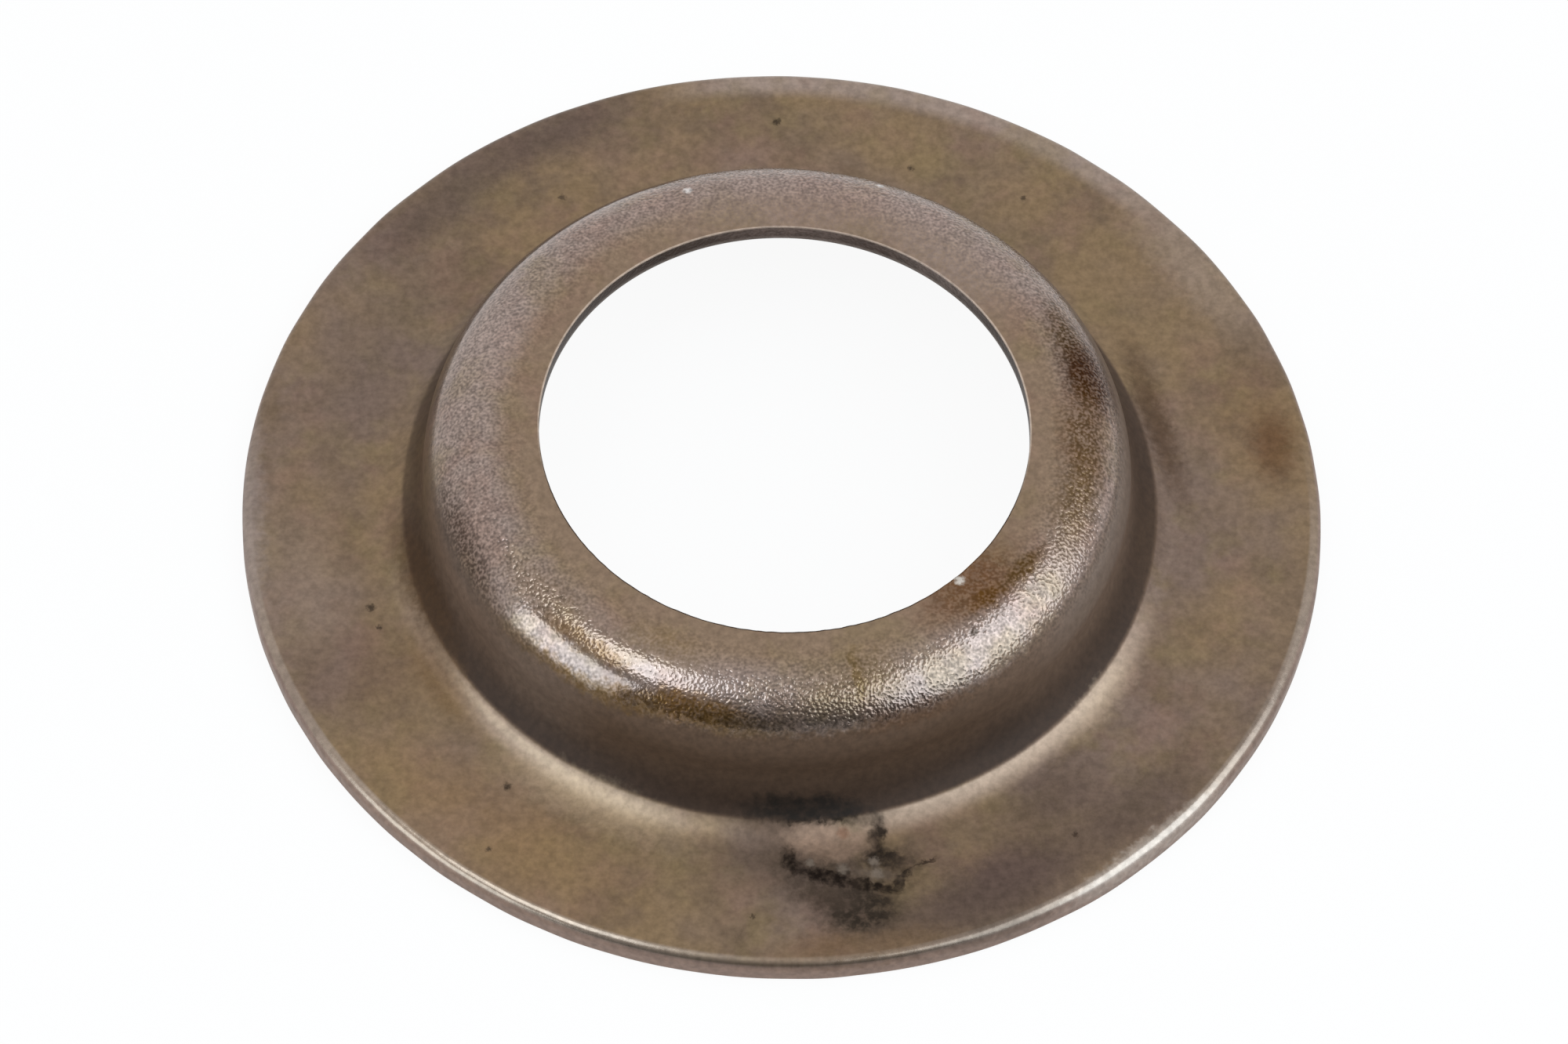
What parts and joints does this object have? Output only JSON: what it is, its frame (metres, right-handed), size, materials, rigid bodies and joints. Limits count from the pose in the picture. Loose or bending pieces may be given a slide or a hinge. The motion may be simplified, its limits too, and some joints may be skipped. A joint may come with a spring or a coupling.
{
  "type": "valve spring shim",
  "caption": "Pressed steel hat-section ring: a flat flange seats the valve spring, a drawn collar centres its first coil, and a round hole clears the valve guide.",
  "frame": {"origin": "on the ring's axis at the underside of the flange", "axes": "+Z along the ring's axis, from the flange towards the crown"},
  "size_m": [0.032, 0.032, 0.0048],
  "materials": {
    "pressed_steel": "oxide-browned, lightly oiled pressed steel"
  },
  "bodies": {
    "root": {"shim": "pressed_steel"}
  },
  "joints": []
}
